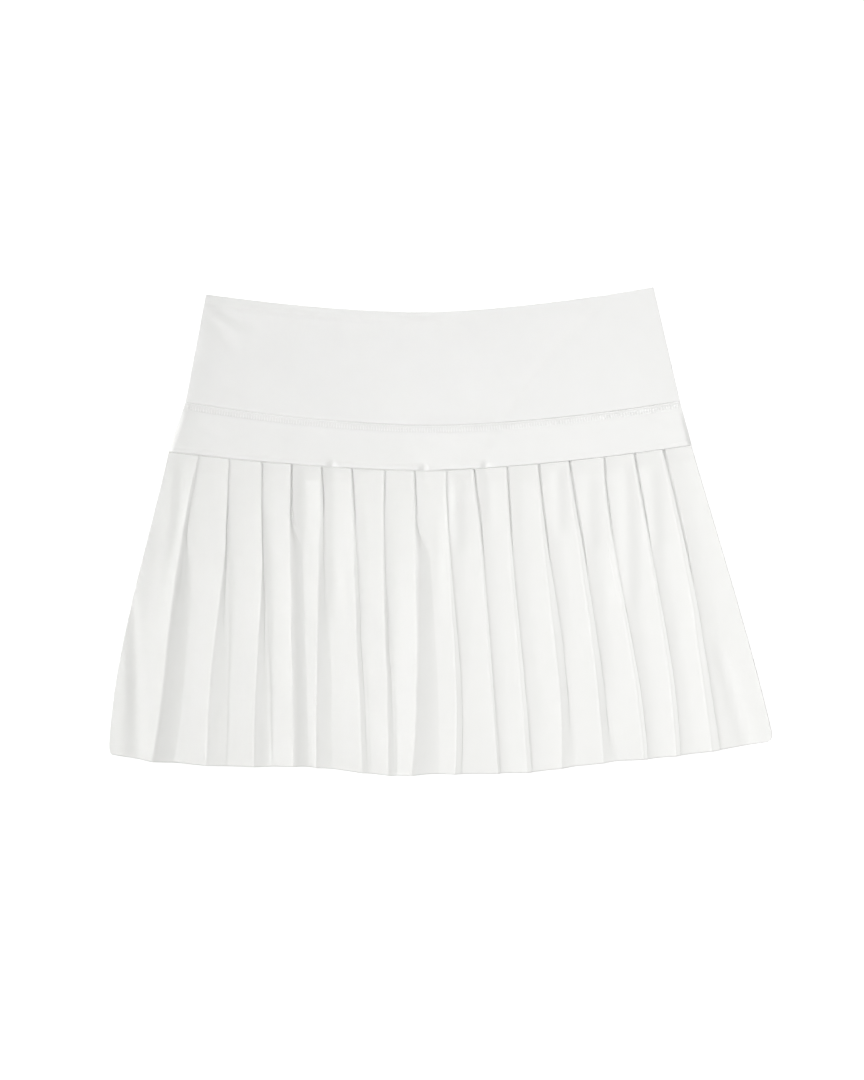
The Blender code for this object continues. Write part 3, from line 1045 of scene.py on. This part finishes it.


# %% [markdown]
# ## What each piece is
#
# Each cloth takes the place of its solid and rides with the skirt.  Its row in the
# table gives the size it was cut to and what it lies on.  The widths of the pleated
# panels count the cloth in the folds.

# %% Ride and replace
SHEETS = [
    # piece, node, slot, width and length as cut, area of the cut, lies on, sewn on it
    (waistband_back, "waistband_back", "band_knit", (0.386, 0.106), 0.0329, [], []),
    (waistband_front, "waistband_front", "band_knit", (0.386, 0.106), 0.0329, [waistband_back], []),
    (yoke_back, "yoke_back", "yoke_knit", (0.410, 0.053), 0.0144, [], []),
    (yoke_front, "yoke_front", "yoke_knit", (0.410, 0.053), 0.0144, [yoke_back], [ladder, needle_row]),
    (pleats_back, "pleats_back", "pleated_cloth", (0.62, 0.245), None, [], []),
    (pleats_front, "pleats_front", "pleated_cloth", (0.64, 0.245), None, [pleats_back], []),
]
for stitches in (ladder, needle_row):
    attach(stitches, "root")
for piece, node, slot, cut, area, under, sewn_on in SHEETS:
    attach(piece, "root")
    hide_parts(node)
    print(f"{piece.name}: cut {cut[0] * 1000:.0f} x {cut[1] * 1000:.0f} mm")


# %% [markdown]
# ## The table and the light
#
# White clothes show best on a table that glows: it drowns the shadow round them, so
# that only the cloth has tones.  The light is soft from all round.  A large
# panel overhead leans towards the right, and a wider, lower one stands at the left:
# a slope that faces left is bright, one that faces right takes the shadow, and the
# left of the skirt stays a little darker.

# %% Table
TABLE_REACH = 6.0                  # metres from its middle to each side
UNDER = 0.0003                     # how far it lies under the skirt

corners = [(x * TABLE_REACH, y * TABLE_REACH, 0) for x, y in ((-1, -1), (1, -1), (1, 1), (-1, 1))]
floor_mesh = bpy.data.meshes.new("table")
floor_mesh.from_pydata(corners, [], [(0, 1, 2, 3)])
table = bpy.data.objects.new("table", floor_mesh)
table.location.z = -UNDER
scene.collection.objects.link(table)
glow = bpy.data.materials.new("glowing_table")
glow.use_nodes = True
glow_shader = glow.node_tree.nodes["Principled BSDF"]
glow_shader.inputs["Base Color"].default_value = (0.4, 0.4, 0.4, 1.0)
glow_shader.inputs["Roughness"].default_value = 0.8
glow_shader.inputs["Specular IOR Level"].default_value = 0.0
glow_shader.inputs["Emission Color"].default_value = (1.0, 1.0, 1.0, 1.0)
glow_shader.inputs["Emission Strength"].default_value = 0.75
floor_mesh.materials.append(glow)


# %% Lights
def panel(name, place, aim, size, spread, power):
    """A square soft light that faces a place, its beam as narrow as its grid's spread."""
    light = bpy.data.lights.new(name, "AREA")
    light.shape, light.size = "SQUARE", size
    light.energy, light.spread = power, math.radians(spread)
    lamp = bpy.data.objects.new(name, light)
    lamp.location = place
    lamp.rotation_euler = (Vector(aim) - Vector(place)).to_track_quat("-Z", "Y").to_euler()
    scene.collection.objects.link(lamp)


panel("overhead_panel", (0.0, 0.0, 2.9), (0.43, -0.15, 0.0), 1.2, 51.0, 5.45)
panel("left_panel", (-2.6, 0.6, 1.25), (0.0, 0.0, 0.0), 1.5, 180.0, 35.0)
world = bpy.data.worlds.new("white_room")
world.use_nodes = True
surround = world.node_tree.nodes["Background"]
surround.inputs["Color"].default_value = (1.0, 1.0, 0.965, 1.0)
surround.inputs["Strength"].default_value = 0.40
scene.world = world
scene.view_settings.view_transform = "Standard"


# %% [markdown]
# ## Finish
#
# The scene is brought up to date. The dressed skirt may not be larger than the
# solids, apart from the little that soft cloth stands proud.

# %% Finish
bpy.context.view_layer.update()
